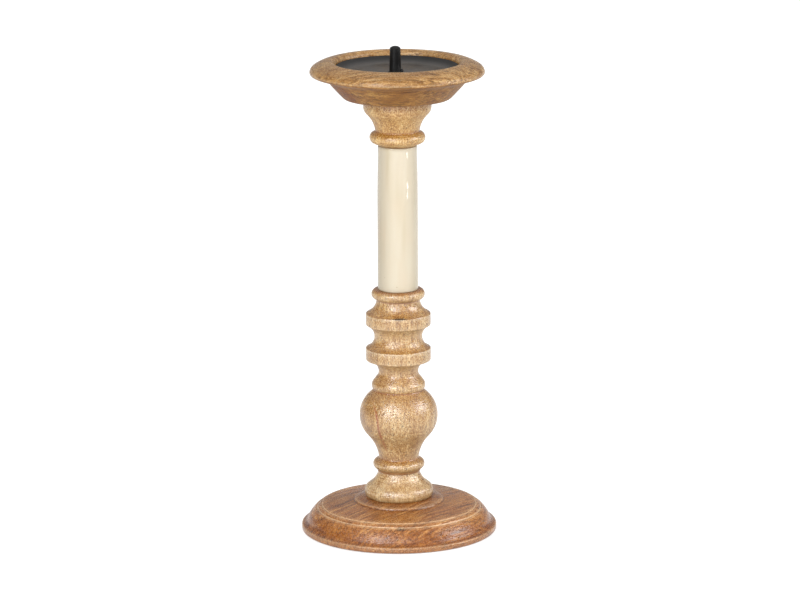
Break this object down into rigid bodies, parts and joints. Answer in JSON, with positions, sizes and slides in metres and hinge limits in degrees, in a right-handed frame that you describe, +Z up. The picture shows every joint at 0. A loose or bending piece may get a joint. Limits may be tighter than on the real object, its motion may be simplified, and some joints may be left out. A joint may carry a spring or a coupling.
{
  "type": "candlestick",
  "caption": "Turned wooden candlestick with a cream enamelled column, a dished wooden top and a black steel drip plate with a blunt spike for a pillar candle.",
  "frame": {"origin": "centre of the felt underside, on the surface the candlestick stands on", "axes": "+Z up along the turned axis towards the spike; +X to the viewer's right and -Y towards the viewer in the usual front view"},
  "size_m": [0.125, 0.125, 0.314],
  "materials": {
    "base_wood": "satin lacquer over dark brown-stained mango wood",
    "bell_wood": "satin lacquer over pale mango wood",
    "stem_wood": "satin lacquer over honey mango wood, grain upright",
    "dish_wood": "satin lacquer over honey mango wood, grain across",
    "cream_enamel": "gloss ivory enamel paint over turned wood",
    "black_coat": "satin black powder coat over steel",
    "plain_steel": "plain mill finish",
    "zinc_steel": "bright zinc plate",
    "felt": "dark brown pressed felt"
  },
  "bodies": {
    "root": {"base_disc": "base_wood", "foot_bell": "bell_wood", "baluster": "stem_wood", "enamelled_column": "cream_enamel", "capital": "stem_wood", "candle_dish": "dish_wood", "drip_plate": "black_coat", "pricket_spike": "black_coat", "spike_weld": "black_coat", "tie_rod": "plain_steel", "rod_weld": "plain_steel", "base_washer": "zinc_steel", "base_nut": "zinc_steel", "felt_pad": "felt"}
  },
  "joints": []
}
